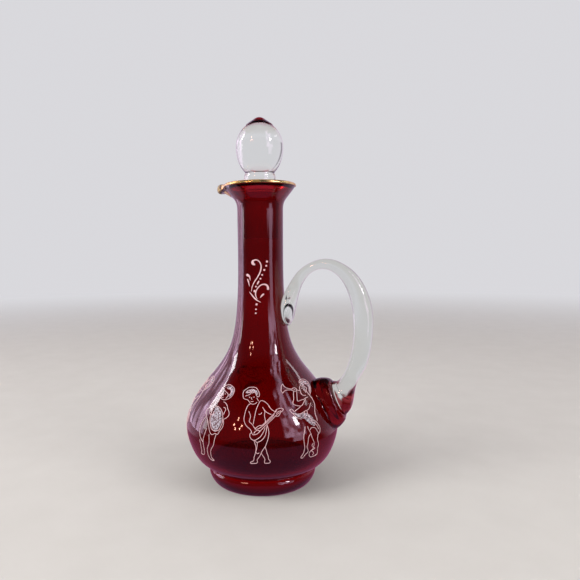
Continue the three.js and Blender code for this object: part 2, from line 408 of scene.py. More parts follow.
def clear_glass(name, tints, ground_below, ruby_reflection):
    """Clear glass with drawn ripples, between two tints. Below a height its skin is ground and frosted.

    The last argument is a centre, a radius and a tint: there a painted reflection of the ruby of the
    next piece is mixed into the glass's colour, up to an edge that wavers.
    """
    centre, radius, reflected_ruby = ruby_reflection
    material, tree = new_material(name)
    place = tree.node("TexCoord", {}, {}, "Object")
    height = tree.node("SeparateXYZ", {}, {"Vector": place}, "Z")
    ripple = tree.noise(place, 90.0, 1.5)
    grain = tree.noise(place, 2500.0, 2.0)
    smear = tree.noise(place, 240.0, 4.0)
    ground = tree.maths("LESS_THAN", height, ground_below)
    bump = tree.node("Bump", {}, {
        "Height": ripple * (1 - ground) + grain * ground * 0.4,
        "Strength": 0.15,
        "Distance": 0.0006,
    })
    # Painted reflection of the neighbouring ruby: a share with a soft, wavering edge that tints the base
    # colour.
    away = tree.node("VectorMath", {"operation": "DISTANCE"}, {0: place, 1: centre}, 1)
    ruby_share = tree.eased(away + (smear - 0.5) * RUBY_REFLECTION_WAVER, radius, radius - RUBY_REFLECTION_EDGE)
    tint = tree.blend(ruby_share, tree.blend(smear, *tints), reflected_ruby)
    shader = tree.node("BsdfPrincipled", {}, {
        "Base Color": tint,
        "Roughness": smear * 0.03 + ground * 0.35,
        "IOR": GLASS_INDEX,
        "Transmission Weight": 1.0,
        "Normal": bump,
    })
    tree.node("OutputMaterial", {}, {"Surface": shader})
    return material


rod.data.materials.append(clear_glass("clear_drawn", ROD_TINTS, BELOW_THE_FOOT, ROOT_RUBY_REFLECTION))
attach(rod, "vessel")
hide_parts("handle_rod")

# Gilding
# A film of gold brushed over the lip and the spout and fired on. It is rubbed thin where fingers
# and cloth reach it, and browner at the spout. Towards the spout's tip it is duller and its colour
# darkens with painted shade, and darker painted shade marks the hollow at the spout's side.

GILDING_GAP = 0.06 * MM
GILDING_THICK = 0.39 * MM
FILM_LOW, FILM_HIGH = -12, 185
FILM_ROWS = 16
SPOUT_LOWER = 58
INSIDE_LOW = 153.6 * MM
BEAK_LOW = 149.6 * MM
INSIDE_TOP = (16.35 * MM, 154.5 * MM)
BEAK_TURN = 21
BEAK_COLUMNS = 24
# Painted shade: towards the spout's tip the gold is duller and painted darker.
SPOUT_DULL_SHADE_FROM, SPOUT_DULL_SHADE_TO = -18 * MM, -21 * MM
# Painted shade: the spout's hollow is painted nearly black round this centre.
HOLLOW_SHADE_CENTRE = (-20.4 * MM, -4.8 * MM, 154.6 * MM)
HOLLOW_SHADE_OUTER, HOLLOW_SHADE_INNER = 1.4 * MM, 0.9 * MM
HOLLOW_SHADE_WAVER = 0.8 * MM
GOLD = (0.93, 0.75, 0.32, 1)
GOLD_INSIDE = (1.0, 0.82, 0.34, 1)
GOLD_SPOUT = (0.8, 0.6, 0.24, 1)
GOLD_WORN = (0.66, 0.42, 0.13, 1)
# Colour of the painted shade at the spout's tip.
GOLD_SPOUT_PAINTED_SHADE = (0.28, 0.25, 0.08, 1)
# Colour of the painted shade in the spout's hollow.
GOLD_HOLLOW_SHADE = (0.04, 0.022, 0.006, 1)

throat = through(MOUTH_OUTLINE, 60)


def gilded_lip():
    """The film over the lip, between two angles of the lip's own ellipse, lower under the spout.

    The lower angle drops by exp(-(turn / beak turn) squared) towards the spout.
    """
    around = 2 * np.pi * np.arange(AROUND) / AROUND
    beak = np.exp(-(((around - np.pi) / math.radians(BEAK_TURN)) ** 2))
    low = FILM_LOW - SPOUT_LOWER * beak
    over = np.radians(low + (FILM_HIGH - low) * np.linspace(0, 1, FILM_ROWS)[:, None])
    over = np.vstack([over, over[::-1]])
    lift = np.repeat([GILDING_GAP + GILDING_THICK, GILDING_GAP], FILM_ROWS)[:, None]
    radius = LIP_CENTRE[0] + (LIP_HALF[0] + lift) * np.cos(over)
    height = LIP_CENTRE[1] + (LIP_HALF[1] + lift) * np.sin(over)
    return np.stack([radius * np.cos(around), radius * np.sin(around), height], -1)


def inside_band():
    """The film inside the mouth: from one to two gaps off the wall's inner side, turned about Z."""
    inner = beside(throat, -WALL - GILDING_GAP)
    inner = np.vstack([inner[inner[:, 1] > INSIDE_LOW], INSIDE_TOP])
    return turned(np.vstack([inner, beside(inner, -GILDING_GAP)[::-1]]))


def under_spout():
    """The film under the spout: from one to two gaps off the wall's outer side, turned a little.

    Across the spout, with t from -1 to 1, the section shrinks to its lower edge as the root of
    1 - t to the fourth.
    """
    outer = beside(throat, GILDING_GAP)[throat[:, 1] > BEAK_LOW]
    under = np.vstack([outer, beside(outer, GILDING_GAP)[::-1]])
    turn = np.radians(np.linspace(180 - BEAK_TURN, 180 + BEAK_TURN, BEAK_COLUMNS))
    size = np.sqrt(1 - np.linspace(-1, 1, BEAK_COLUMNS) ** 4)[:, None, None]
    section = under[-1] + (under - under[-1]) * size
    return np.stack([
        section[..., 0] * np.cos(turn)[:, None],
        section[..., 0] * np.sin(turn)[:, None],
        section[..., 1],
    ], -1)


gilding = mesh_piece("lip_gilding", [pull_spout(gilded_lip())], loop=True)
gilded_band = mesh_piece("lip_gilding_inside", [pull_spout(inside_band())], loop=True)
gilded_beak = mesh_piece("spout_gilding", [pull_spout(under_spout())])


def gold_film(name, metal, bright):
    """Fired gold of a metallic share and a bright tone, browner and less metallic where it is worn.

    Towards the tip of the spout it is duller and painted darker as shade, and near the centre of the
    spout's hollow it is painted dark as shade.
    """
    material, tree = new_material(name)
    place = tree.node("TexCoord", {}, {}, "Object")
    worn = tree.noise(place, 260.0, 5.0)
    thin = tree.node("ValToRGB", {"stops": [(0.35, 0.0), (0.62, 1.0)]}, {"Fac": worn})
    along = tree.node("SeparateXYZ", {}, {"Vector": place}, "X")
    # Painted shade: the gold is duller and painted darker towards the spout's tip.
    dull_and_shade = tree.eased(along, SPOUT_DULL_SHADE_FROM, SPOUT_DULL_SHADE_TO)
    # Painted shade in the spout's hollow, with a wavering edge.
    away = tree.node("VectorMath", {"operation": "DISTANCE"}, {0: place, 1: HOLLOW_SHADE_CENTRE}, 1)
    hollow_shade = tree.eased(away + (worn - 0.5) * HOLLOW_SHADE_WAVER, HOLLOW_SHADE_OUTER, HOLLOW_SHADE_INNER)
    tone = tree.blend(thin, bright, GOLD_WORN)
    tone = tree.blend(dull_and_shade, tone, GOLD_SPOUT_PAINTED_SHADE)
    tone = tree.blend(hollow_shade, tone, GOLD_HOLLOW_SHADE)
    bump = tree.node("Bump", {}, {"Height": worn, "Strength": 0.25, "Distance": 0.0002})
    shader = tree.node("BsdfPrincipled", {}, {
        "Base Color": tone,
        "Metallic": metal - thin * (1 - dull_and_shade) * 0.25,
        "Roughness": worn * 0.25 + dull_and_shade * 0.15 + 0.12,
        "Normal": bump,
    })
    tree.node("OutputMaterial", {}, {"Surface": shader})
    return material


for part, gold in (
    (gilding, gold_film("fired_gold", metal=0.95, bright=GOLD)),
    (gilded_band, gold_film("fired_gold_inside", metal=0.4, bright=GOLD_INSIDE)),
    (gilded_beak, gold_film("fired_gold_spout", metal=0.95, bright=GOLD_SPOUT)),
):
    part.data.materials.append(gold)
    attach(part, "vessel")
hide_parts("rim_gilding")

# Stopper
# A solid egg of clear glass on a short collar. The plug under it is ground with grit to fit the
# bore of the neck, so its skin is frosted, and only its own weight holds it there.

PLUG_BOTTOM, PLUG_TOP = 127.5 * MM, 145.6 * MM
PLUG_GAP = 0.3 * MM
PLUG_CHAMFER = 0.6 * MM
GROUND_BELOW = 146.2 * MM
STOPPER_COLLAR = np.array([(8.5, 147.2), (8.3, 148.6), (8.3, 156), (8.1, 159.6), (7.5, 161.3)]) * MM
EGG_WIDEST = 174.3 * MM
EGG_RADIUS = 12.3 * MM
EGG_BELOW, EGG_ABOVE = 16 * MM, 13.7 * MM
EGG_WAIST = -52
STOPPER_TINTS = ((0.93, 0.955, 0.945, 1), (0.985, 0.99, 0.985, 1))
# Painted reflection: the clear egg is tinted pink round the foot of the ruby tip.
TIP_RUBY_REFLECTION = ((0, 0, 190 * MM), 11.2 * MM, (0.95, 0.72, 0.84, 1))

stopper_profile = np.vstack([
    [(0, PLUG_BOTTOM)],
    [(bore_radius(PLUG_BOTTOM) - PLUG_GAP - PLUG_CHAMFER, PLUG_BOTTOM)],
    [(bore_radius(PLUG_BOTTOM) - PLUG_GAP, PLUG_BOTTOM + PLUG_CHAMFER)],
    [(bore_radius(PLUG_TOP) - PLUG_GAP, PLUG_TOP)],
    through(STOPPER_COLLAR, 16),
    bow((0, EGG_WIDEST), (EGG_RADIUS, EGG_BELOW), EGG_WAIST, 0, 20)[1:],
    bow((0, EGG_WIDEST), (EGG_RADIUS, EGG_ABOVE), 0, 90, 30)[1:],
])
stopper = mesh_piece("clear_stopper", [turned(stopper_profile)])
clear_egg = clear_glass("clear_stopper_glass", STOPPER_TINTS, GROUND_BELOW, TIP_RUBY_REFLECTION)
stopper.data.materials.append(clear_egg)
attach(stopper, "stopper")
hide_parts("stopper_body")

# Stopper tip
# A small gather of ruby glass, melted on top of the hot egg and drawn up to a slight point. It
# lifts with the stopper.

TIP_RADIUS = 6.9 * MM
TIP_GAP = 0.1 * MM
TIP_OUTLINE = np.array([
    (6.9, 186), (5.4, 187.2), (3.8, 188.3), (1.8, 189.6), (0.8, 189.9), (0, 190),
]) * MM
TIP_DENSITY = 380.0

tip_radii = TIP_RADIUS * np.sin(np.radians(np.linspace(0, 90, 20)))
tip_under = EGG_WIDEST + EGG_ABOVE * np.sqrt(1 - (tip_radii / EGG_RADIUS) ** 2) + TIP_GAP
tip_over = through(TIP_OUTLINE, 24)
tip_over[-1, 0] = 0
tip_profile = np.vstack([np.stack([tip_radii, tip_under], -1), tip_over])
tip = mesh_piece("ruby_stopper_tip", [turned(tip_profile)])
tip.data.materials.append(ruby_glass("ruby_tip_glass", TIP_DENSITY))
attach(tip, "stopper")
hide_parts("stopper_tip")

# Neck scroll
# White enamel trailed by hand on the cold glass and fired: a stem with curls beside a row of dots.
# The lines stand about a fifth of a millimetre proud and melt round at their ends.

VIEW_TURN = math.radians(20)
ENAMEL_PROUD = 0.22 * MM
ENAMEL_SUNK = 0.06 * MM
LINE_STEP = 0.25 * MM
SCROLL_FOOT = 92 * MM
SCROLL_AZIMUTH = -9
LINE_TINTS = ((0.78, 0.44, 0.48, 1), (0.91, 0.67, 0.68, 1))

bulb_step = np.diff(bulb_line, axis=0)
climb = np.concatenate([[0], np.cumsum(np.linalg.norm(bulb_step, axis=1))])
outward = beside(bulb_line, 1.0) - bulb_line


def on_glass(across, up, lift, azimuth):
    """A point of the blown skin, moved out along the skin's normal by the lift.

    Up runs along the glass from the bottom of the bulb. Across is an arc at that height, from the
    line that is turned right of the photograph's camera by an azimuth in degrees.
    """
    radius = np.interp(up, climb, bulb_line[:, 0])
    height = np.interp(up, climb, bulb_line[:, 1])
    far = radius + lift * np.interp(up, climb, outward[:, 0])
    angle = math.radians(azimuth) + VIEW_TURN - math.pi / 2 + across / radius
    level = height + lift * np.interp(up, climb, outward[:, 1])
    return np.stack([far * np.cos(angle), far * np.sin(angle), level], -1)


def painted(strokes, azimuth, foot, proud=ENAMEL_PROUD):
    """Rounded lines of enamel, one grid for each stroke of (across, up, half width) in millimetres.

    The section is half width times cos a to the side, and proud times sin a above the skin or sunk
    times sin a under it. Past each end the line runs on by half width times sin b, scaled by cos b.
    """
    grids = []
    cap = np.radians(np.linspace(90, 0, 5, endpoint=False))
    section = np.radians(np.arange(0, 360, 36))
    rise = np.where(np.sin(section) > 0, proud, ENAMEL_SUNK) * np.sin(section)
    for stroke in strokes:
        rows = np.array(stroke) * MM
        length = np.linalg.norm(np.diff(rows[:, :2], axis=0), axis=1).sum()
        line = through(rows, 3 + int(length / LINE_STEP))
        ahead = np.gradient(line[:, :2], axis=0)
        ahead /= np.linalg.norm(ahead, axis=1)[:, None]
        first, last = np.repeat(line[:1], len(cap), 0), np.repeat(line[-1:], len(cap), 0)
        first[:, :2] -= np.sin(cap)[:, None] * line[0, 2] * ahead[0]
        last[:, :2] += np.sin(cap[::-1])[:, None] * line[-1, 2] * ahead[-1]
        line = np.vstack([first, line, last])
        ahead = np.pad(ahead, ((len(cap), len(cap)), (0, 0)), "edge")
        size = np.concatenate([np.cos(cap), np.ones(len(line) - 2 * len(cap)), np.cos(cap[::-1])])
        aside = np.stack([ahead[:, 1], -ahead[:, 0]], -1)[:, None] * np.cos(section)[:, None]
        flat = line[:, None, :2] + (line[:, 2] * size)[:, None, None] * aside
        grids.append(on_glass(flat[..., 0], flat[..., 1] + foot, size[:, None] * rise, azimuth))
    return grids


def dot(across, up, half_width):
    """A round drop of enamel, as a stroke too short to see."""
    return [(across - 0.02, up, half_width), (across + 0.02, up, half_width)]


scroll_lines = [
    [(-1.3, 25, 0.45), (-2.1, 25.5, 0.75), (-2.2, 26.5, 0.6), (-1.5, 27.1, 0.38),
     (-0.4, 27.3, 0.28), (1.1, 26.5, 0.28), (2, 24.8, 0.3), (2, 22.8, 0.32), (1.2, 20.3, 0.3),
     (-1, 16.8, 0.26), (-2.5, 13.9, 0.22), (-3, 11.5, 0.14)],
    [(-5.3, 19.6, 0.7), (-4.3, 19.1, 0.5), (-3.8, 17.8, 0.2), (-3.7, 17, 0.1)],
    [(-5.2, 17.4, 0.32), (-4.6, 15.8, 0.28), (-4.1, 14, 0.1)],
    [(5.6, 12.6, 0.6), (5.2, 14.1, 0.5), (2.9, 14.9, 0.32), (0.8, 13.6, 0.26), (-0.5, 11.7, 0.28),
     (-0.8, 9.7, 0.28), (0, 7.6, 0.12)],
    [(3.2, 9.9, 0.4), (2.3, 9.1, 0.35), (1.6, 8.2, 0.12)],
    [(-4.1, 11.1, 0.12), (-2.4, 9.1, 0.34), (-0.4, 7.1, 0.3), (1.8, 5.9, 0.12)],
    [(0.8, 16.4, 0.38), (0.2, 15.2, 0.36)],
    dot(5.1, 26.4, 0.55), dot(4.7, 24.3, 0.5), dot(3.7, 22.2, 0.5), dot(2.6, 19.7, 0.45),
    dot(1.7, 17.8, 0.45), dot(-0.6, 13.8, 0.42), dot(-1.3, 11.5, 0.62), dot(-0.3, 4.8, 0.55),
    dot(-0.6, 2.3, 0.42), dot(-0.7, 0.3, 0.42),
]
scroll = mesh_piece("enamel_neck_scroll", painted(scroll_lines, SCROLL_AZIMUTH, SCROLL_FOOT))


def white_enamel(name, tints, cover, stipple):
    """Fired white enamel: the first tint where it is thin and the second where thick, faintly pitted.

    Its opacity is cover plus twice the thickness, which varies stipple times in a metre.
    """
    material, tree = new_material(name)
    place = tree.node("TexCoord", {}, {}, "Object")
    thickness = tree.noise(place, stipple, 3.0)
    pits = tree.noise(place, 2600.0, 2.0)
    bump = tree.node("Bump", {}, {"Height": pits, "Strength": 0.3, "Distance": 0.0001})
    shader = tree.node("BsdfPrincipled", {}, {
        "Base Color": tree.blend(thickness, *tints),
        "Roughness": thickness * 0.3 + 0.2,
        "Alpha": thickness * 2.0 + cover,
        "Normal": bump,
    })
    tree.node("OutputMaterial", {}, {"Surface": shader})
    return material


line_enamel = white_enamel("enamel_line", LINE_TINTS, cover=1.0, stipple=420.0)
scroll.data.materials.append(line_enamel)
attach(scroll, "vessel")

# Lute players
# A child in a draped cloth with a long-necked lute, outlined in the same trailed enamel. The one
# in front is repeated at the back.

FIGURE_FOOT = 17.2 * MM
OUTLINE = 0.14
LUTE_AZIMUTHS = (0, 151, 236)


def drawn(*lines):
    """Strokes of one even width, each a list of (across, up) in millimetres."""
    return [[(across, up, OUTLINE) for across, up in line] for line in lines]


lute_lines = drawn(
    [(-9, 31.1), (-9.2, 32.2), (-9.2, 33.5), (-8.8, 34.8), (-7.3, 36), (-6.4, 36.7), (-5.3, 36.9),
     (-3.9, 37), (-2.8, 36.7), (-2, 35.7), (-1.4, 34.4), (-1.2, 33.2), (-1.4, 32.2), (-2.1, 32)],
    [(-9, 31.1), (-8.3, 30.7), (-7.5, 30.5), (-6.8, 30.3), (-6.2, 29.6), (-5.5, 28.7),
     (-4.5, 28.3), (-3.4, 28.5), (-2.5, 29.2)],
    [(-7.7, 33.9), (-7, 34.9), (-6, 35.3), (-5.3, 34.9), (-6, 34.3), (-6.8, 34)],
    [(-5.4, 33.5), (-4.9, 34.7), (-3.9, 35.7), (-3.4, 35.1), (-3.9, 34.4), (-4.6, 33.8)],
    [(-3.9, 34.4), (-3, 33.9), (-2.7, 32.9), (-2, 32)],
    [(-8, 32.2), (-6.6, 32.8), (-5.4, 33.5)],
    [(-2.4, 31.4), (-2, 30.6), (-1.6, 29.9)],
    [(-1, 29.7), (-1.7, 28.3), (-2.4, 26.7), (-3, 24.7), (-3.4, 23.1), (-3.8, 21.1), (-4.2, 18.8)],
    [(-1, 29.7), (-0.4, 30.1), (0.7, 29.9), (1.8, 29.2), (2.8, 28.2), (3.5, 27.1), (4.3, 25.8),
     (5.4, 25), (6.2, 24.4)],
    [(0.3, 26.8), (0.9, 25.8), (1.6, 25), (2.4, 24.2), (3.2, 23.7), (4.3, 23.3)],
    [(6.2, 24.4), (6.7, 25.3), (7.8, 25.8), (9.2, 25.9), (10.2, 25.3), (9.5, 24.4), (8.7, 24.2)],
    [(6.7, 23.5), (7.8, 24.4), (8.9, 24.7)],
    [(6.5, 22.5), (7.4, 22.2), (8.4, 23.1), (9.1, 24.3)],
    [(6.9, 24.9), (4.8, 22.8), (2.9, 21), (1.3, 19.5), (-0.1, 18.4), (-1.3, 18.2), (-2.5, 17.5),
     (-3.4, 16.9)],
    [(5.7, 23.1), (4.3, 21.5), (2.7, 20.1), (1, 18.6), (-0.6, 17.5), (-2, 16.7), (-3.4, 16.6)],
    [(8.3, 23.9), (6.7, 22.8), (5.1, 21.3), (3.5, 19.9), (2.1, 18.6), (0.7, 17.4), (-0.6, 16.1),
     (-1.7, 15), (-2.8, 14.3), (-4.2, 14)],
    [(-3.9, 14.7), (-3.1, 15.7), (-2, 16.1), (-1.2, 15.8), (-1.7, 15.1)],
    [(-5.5, 28.5), (-6.5, 27.8), (-7.3, 26.4), (-7.9, 24.7), (-8.3, 23.1), (-8.6, 21.4),
     (-8.4, 19.7), (-7.7, 18.3), (-6.6, 17.2), (-5.5, 16.3), (-5, 15.1), (-4.6, 14.3), (-4.2, 14)],
    [(-6.2, 24.7), (-5.7, 23.3), (-5.5, 22.2), (-5.8, 21.1), (-6, 19.9), (-5, 19), (-4.3, 18.2),
     (-3.6, 17.2), (-3.1, 16.7)],
    [(-1.6, 23.5), (-0.6, 23.6), (-0.2, 24.3)],
    [(0.9, 25.8), (1.3, 24.4), (1.1, 23.1), (1.3, 21.7), (1.5, 20.3), (1.6, 19.4)],
    [(-5.1, 15), (-5.7, 14.3), (-5.8, 13.3), (-5.4, 12.4), (-4.5, 11.7), (-3.2, 11.7), (-2, 12.4),
     (-0.9, 13.2), (-0.1, 14.3), (0.7, 15.6), (1.3, 17.2)],
    [(-3.4, 11.5), (-2.7, 10.7), (-1.9, 10.8), (-0.6, 11.4), (0.5, 12.4), (1.3, 13.6), (1.7, 15),
     (2, 16.7), (2.1, 17.8)],
    [(2.4, 18.3), (2.8, 16.7), (3.1, 15), (2.9, 13.3), (2.5, 11.7), (2, 10.3), (1.3, 8.6)],
    [(-3.9, 11.4), (-3.4, 10), (-3, 8.6), (-3, 7.2), (-3.2, 6), (-3.5, 4.7), (-3.9, 3.6), (-4, 2.2),
     (-4.7, 1.1), (-5.7, 0.4), (-5.4, 0), (-4.2, 0), (-3, 0.1), (-2.4, 0.7), (-2.5, 1.8),
     (-1.9, 3.1), (-1.2, 4.2), (-0.6, 5.6), (0.2, 7.1), (1.3, 8.6)],
    [(-2.3, 10.4), (-2.5, 8.9), (-2.8, 7.2), (-3, 6), (-2.3, 5.3), (-1.6, 5.7)],
    [(1.3, 8.6), (1.8, 6.9), (2.2, 5.3), (2.7, 3.6), (2.9, 2.2), (3.6, 1.1), (3.3, 0.3), (2.1, 0.1),
     (1, 0.3), (0.9, 1.1), (1.1, 2.1), (0.7, 3.3), (0.1, 4.4), (-0.6, 5.6)],
    [(-4.9, 31.6), (-5, 30.9), (-4.7, 30.7)],
    [(-5.3, 29.7), (-4.8, 29.5), (-4.2, 29.7)],
) + [dot(-5.9, 31.7, 0.25), dot(-3.8, 31.9, 0.25)]
lute_grids = [grid for turn in LUTE_AZIMUTHS for grid in painted(lute_lines, turn, FIGURE_FOOT)]
lute_players = mesh_piece("enamel_lute_players", lute_grids)
lute_players.data.materials.append(line_enamel)
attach(lute_players, "vessel")

# Horn players
# A child blowing a straight horn, seen from behind, with a long sash round the hips. Drawn like
# the others, right of the front, on the hidden left side and at the back.

HORN_AZIMUTHS = (36, -84, 192)

horn_lines = drawn(
    [(-6.2, 38), (-7.1, 37.4), (-8.1, 35.7), (-8.6, 34.3), (-8.3, 33.3)],
    [(-6.2, 38), (-6.1, 36.9), (-5.5, 36), (-4.4, 35.3), (-2.4, 34.8)],
    [(-8.3, 33.3), (-7.3, 34.1), (-6.2, 34.6), (-4.7, 34.6), (-2.6, 34.3)],
    [(-2.6, 34.8), (-1.3, 35.3), (-0.3, 34.9), (0, 34.1), (-1, 33.4), (-2.1, 33.7), (-2.8, 34.1)],
    [(-1.6, 34.7), (-1, 34.2)],
    [(0, 34), (0.7, 33.5), (1.7, 33.3)],
    [(3.4, 37.2), (4, 38.1), (5.5, 38.7), (8.6, 38), (10, 36.6), (10.4, 35.1), (10.5, 33.8),
     (9.6, 32.4), (8.7, 31.2), (7.3, 30.2)],
    [(3.7, 37.1), (6, 37.8), (7.3, 37.6), (6.3, 36.9), (4.5, 36.6), (3.4, 36), (4.1, 35.2),
     (5.9, 35.8)],
    [(6.8, 36.8), (8, 35.6), (9.6, 35.7)],
    [(5.8, 34.7), (6.8, 33.5), (5.7, 32.5), (5.9, 31.5), (6.4, 30.5), (6.9, 29.7)],
    [(8.9, 34.7), (9.2, 33.3), (7.8, 32), (7.9, 30.7)],
    [(2.8, 35.5), (2, 34.2), (1.8, 33.2), (1.6, 32.1), (1.9, 31), (3, 30.4), (4, 30.2)],
    [(3.2, 34.3), (3.9, 34.2)],
    [(4.2, 33.2), (4.8, 32.4), (4.9, 31.6)],
    [(-2.3, 33.4), (-3.2, 31.5), (-4.1, 29.4), (-5.2, 27.2), (-4.1, 26.4), (-2.7, 25.9),
     (-1.6, 25.7), (-0.6, 25.9), (0.9, 27.1), (2, 27.8), (3, 28.5)],
    [(-0.4, 33.3), (-1.3, 31.3), (-2, 29.5), (-2.2, 28.4), (-0.1, 28.5), (2, 28.6), (3.6, 29.1),
     (4.9, 29.1)],
    [(-1.7, 25.6), (-3.2, 24.8), (-5.1, 24), (-6.1, 23.6), (-6.9, 24.7), (-7.7, 24.9), (-8.2, 24.4),
     (-7.9, 23.6), (-6.9, 22.1), (-6, 20.8), (-4.5, 19.9), (-3.7, 19.5)],
    [(6.5, 29.7), (7.2, 28.6), (7.6, 26.8), (7.7, 25.3), (7.1, 23.6), (5.9, 21.5), (5.6, 19.8),
     (5.7, 18.4), (5.6, 17)],
    [(5.1, 25.9), (4.1, 24.9), (2.6, 23.5), (1.1, 23), (-0.5, 22.8), (-1.7, 22.4), (-3.6, 22.1),
     (-5.5, 22.2), (-6.6, 22.6)],
    [(-0.6, 22.5), (-1.1, 21.2), (-1.3, 19.9)],
    [(1, 22.7), (0.8, 21.3), (1.3, 19.8), (1.9, 18.6), (3.1, 17.7), (4.8, 16.6), (5.5, 15.3),
     (6.4, 13.7), (6.2, 12.3), (5.4, 11)],
    [(1.3, 18), (2.8, 16.6), (4, 15.6), (4.9, 14.3), (5.3, 13.1)],
    [(-0.3, 13.8), (0.5, 14.5), (2, 14.5), (3.4, 13.8), (4.1, 12.4), (4.8, 11.5)],
    [(-2.8, 15.7), (-3.3, 14.4), (-3.9, 13), (-4.6, 11.1), (-4.6, 9.5), (-4.4, 7.7), (-4.2, 6),
     (-4.4, 4.3), (-4.6, 3.3), (-5.2, 2.2), (-5.6, 1), (-4.8, 0.7), (-3.9, 1.6), (-3.2, 2.4),
     (-2.1, 3.3), (-2.1, 4.5), (-2.6, 5.4), (-2.8, 6.3), (-2.4, 7.9), (-2, 9.9), (-1.3, 11.1),
     (-0.5, 11.7)],
    [(-1.3, 15.5), (-1.1, 14.3), (-0.5, 13), (-0.1, 11.7), (0.3, 10.2), (0.9, 8.8), (1.5, 7.2),
     (1.3, 5.7), (0.6, 4), (-0.8, 3.2), (-0.9, 1.6), (0.6, 0), (2.4, 0), (4.4, 0.5), (4.7, 1.6),
     (4.2, 3.7), (4.6, 5.7), (4.2, 7.2), (3.8, 8.6), (4.1, 9.9), (4.8, 11.5)],
    [(0.8, 7.1), (0.2, 6.2), (2.1, 4.3), (0.3, 3.6), (1.9, 1.9), (1.3, 0.8)],
)
horn_grids = [grid for turn in HORN_AZIMUTHS for grid in painted(horn_lines, turn, FIGURE_FOOT)]
horn_players = mesh_piece("enamel_horn_players", horn_grids)
horn_players.data.materials.append(line_enamel)
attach(horn_players, "vessel")

# Drummers
# A child in a bonnet and a tunic, beating a drum held before them. Drawn like the others, left of
# the front and at the back.

DRUM_AZIMUTHS = (-38, 111)

drum_lines = drawn(
    [(-1.6, 33.8), (-1.6, 35.5), (-0.5, 36.7), (0.8, 37.2), (2.3, 36.9), (4, 36.1), (5.1, 34.8),
     (5.4, 33.4), (5.3, 31.9), (4.6, 30.6), (3.7, 29.8), (2.4, 29.2)],
    [(-0.3, 33.8), (1.5, 32.9), (2.8, 32), (2.9, 31), (2.4, 29.9)],
    [(2.7, 35.2), (3.8, 34.3), (3.9, 33), (3.3, 31.9)],
    [(0.4, 35.4), (1.6, 34.9), (2.7, 35.2)],
    [(-1.6, 33.8), (-2, 32.4), (-1.7, 31), (-0.7, 29.7), (0.8, 29.1), (2.4, 29.2)],
    [(-0.7, 30.3), (0, 30.1), (0.6, 30.3)],
    [(0.1, 32), (-0.1, 31.3), (0.2, 31.1)],
    [(2, 28.1), (3.4, 27.6), (4.7, 26.5), (5.9, 24.8), (7, 23.5), (7.4, 22), (6.6, 20.7),
     (5.4, 19.9)],
    [(3.2, 25.4), (4, 25.3), (4.7, 24.6), (4.6, 23.4), (4.5, 22.1)],
    [(-3, 16), (-2.1, 14.4), (-1.1, 12.8), (0.6, 11.8), (2.3, 12.6), (3.8, 12.5), (4.4, 13.6),
     (5.4, 15.3), (5.9, 16.8), (5.7, 18.5), (5.1, 19.7)],
    [(4.7, 20.4), (5.1, 17.7), (4.7, 16.1), (4.1, 14.6), (2.4, 13.9), (0.4, 14), (-1.1, 15.3),
     (-2.3, 17.4), (-3, 19.7), (-3.1, 21.4), (-3.1, 23.3), (-2.5, 24.7), (-1.1, 25.3),
     (1.6, 24.5), (3.6, 22.6), (4.7, 20.4)],
    [(-1.2, 28.9), (-1.2, 27.8), (-3.6, 26.8), (-5.4, 24.8), (-6.5, 22.7), (-6.8, 21.1), (-6, 19.7),
     (-4.8, 18.4), (-3, 16)],
    [(-4.4, 23.4), (-4.6, 21.8), (-3.6, 20.9), (-2.2, 20.9), (-1.4, 21.8), (-2.2, 22.4)],
    [(-6.3, 18.9), (-7.6, 16), (-8.4, 13.5), (-8.5, 11.6), (-7.4, 8.6), (-5.6, 7)],
    [(-3.6, 13.8), (-4.6, 10.6), (-5.3, 8.2), (-5.4, 5.6), (-5.3, 3.2), (-5.7, 1.4), (-6.2, 0.2),
     (-7.8, -0.4), (-8.8, 0), (-8, 1.2), (-7.6, 2.9), (-7.7, 5.3), (-8.1, 7.6)],
    [(-1.4, 11.4), (-1.1, 9.1), (-1.3, 7), (-2.4, 5), (-3, 2.6), (-3, 0.6), (-2.4, -1.2),
     (-0.9, -1.9), (0.2, -1.6), (-0.6, -0.8), (-1, 0.8), (-0.5, 3.6), (0.4, 5.2), (1.7, 7),
     (2.1, 8.8), (2.7, 11.1), (2.9, 12.1)],
) + [dot(-0.8, 32.2, 0.25), dot(1, 32.1, 0.25)]
drum_grids = [grid for turn in DRUM_AZIMUTHS for grid in painted(drum_lines, turn, FIGURE_FOOT)]
drummers = mesh_piece("enamel_drummers", drum_grids)
drummers.data.materials.append(line_enamel)
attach(drummers, "vessel")

# Enamel washes
# Thin white enamel flooded into the drum, the sash, the bonnet and the curls and stippled with a
# dry brush before the outlines. The ruby glass shows through it.

WASH_PROUD = 0.1 * MM
WASH_TINTS = ((0.6, 0.5, 0.58, 1), (0.85, 0.83, 0.92, 1))

washes = [
    (DRUM_AZIMUTHS, [(-0.6, 24, 1.4), (0.2, 22.2, 2.6), (0.8, 19.6, 3.4), (1.5, 17, 3.2),
                     (1.8, 15.2, 1.8)]),
    (DRUM_AZIMUTHS, [(1.2, 36, 0.7), (3, 35.4, 0.9), (4.3, 33.6, 0.8), (4, 31.4, 0.6)]),
    (HORN_AZIMUTHS, [(-6.4, 22.9, 0.5), (-4, 21.2, 1), (-1, 20.6, 1.6), (1.2, 18.6, 2),
                     (3, 16.4, 1.4)]),
    (HORN_AZIMUTHS, [(5, 36.6, 0.8), (8, 36.4, 1), (9.2, 34.4, 0.9), (8.4, 32, 0.6)]),
    (LUTE_AZIMUTHS, [(-7.2, 34.2, 0.5), (-5.4, 34.9, 0.9), (-3.6, 35.2, 0.8), (-2.4, 33.6, 0.5)]),
]
wash_grids = [
    grid
    for turns, stroke in washes
    for turn in turns
    for grid in painted([stroke], turn, FIGURE_FOOT, WASH_PROUD)
]
